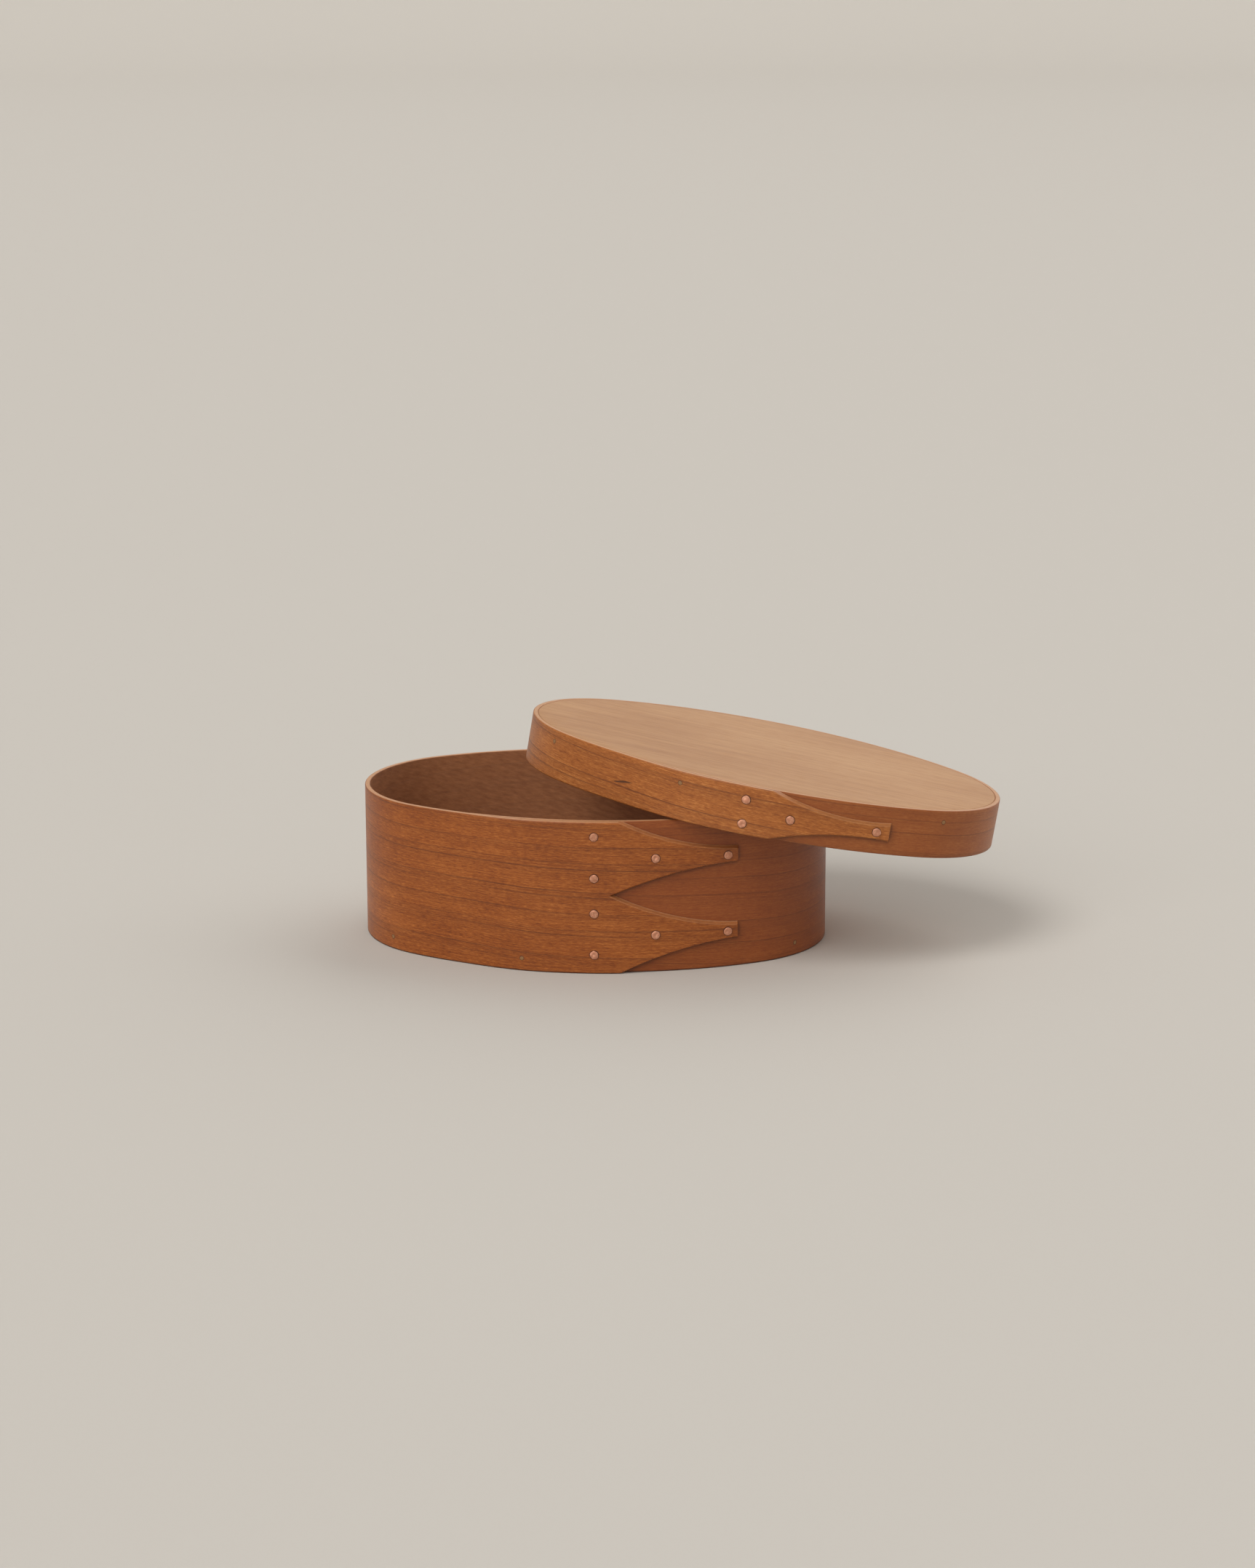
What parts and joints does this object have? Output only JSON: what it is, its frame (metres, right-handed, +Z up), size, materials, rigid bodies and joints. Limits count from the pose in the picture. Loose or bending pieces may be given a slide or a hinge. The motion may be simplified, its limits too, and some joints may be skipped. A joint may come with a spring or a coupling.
{
  "type": "oval bentwood box with lid",
  "caption": "Oval bentwood box with a shallow lid leaning askew across its rim; the lapped sides end in pointed fingers fixed with small copper tacks, and the boards are pegged in.",
  "frame": {"origin": "middle of the box's oval on its underside, where it stands", "axes": "+Z up out of the box, +X along the box's long way towards the side that the lid leans over and the finger tips point to, -Y out of the lapped front"},
  "size_m": [0.2497, 0.132, 0.0873],
  "materials": {
    "band_wood": "satin",
    "lid_board_wood": "satin",
    "box_board_wood": "satin",
    "peg_wood": "satin",
    "copper": "satin"
  },
  "bodies": {
    "box": {"box_band": "band_wood", "box_board": "box_board_wood", "box_tack_1": "copper", "box_tack_2": "copper", "box_tack_3": "copper", "box_tack_4": "copper", "box_tack_5": "copper", "box_tack_6": "copper", "box_tack_7": "copper", "box_tack_8": "copper", "box_peg_1": "peg_wood", "box_peg_2": "peg_wood", "box_peg_3": "peg_wood", "box_peg_4": "peg_wood", "box_peg_5": "peg_wood", "box_peg_6": "peg_wood", "box_peg_7": "peg_wood"},
    "lid": {"lid_band": "band_wood", "lid_board": "lid_board_wood", "lid_tack_1": "copper", "lid_tack_2": "copper", "lid_tack_3": "copper", "lid_tack_4": "copper", "lid_peg_1": "peg_wood", "lid_peg_2": "peg_wood", "lid_peg_3": "peg_wood", "lid_peg_4": "peg_wood", "lid_peg_5": "peg_wood", "lid_peg_6": "peg_wood", "lid_peg_7": "peg_wood"}
  },
  "joints": [
    {"name": "lid_lift", "type": "slide", "parent": "box", "child": "lid", "axis": [0, 0, 1], "range_m": [0, 0.12]}
  ]
}
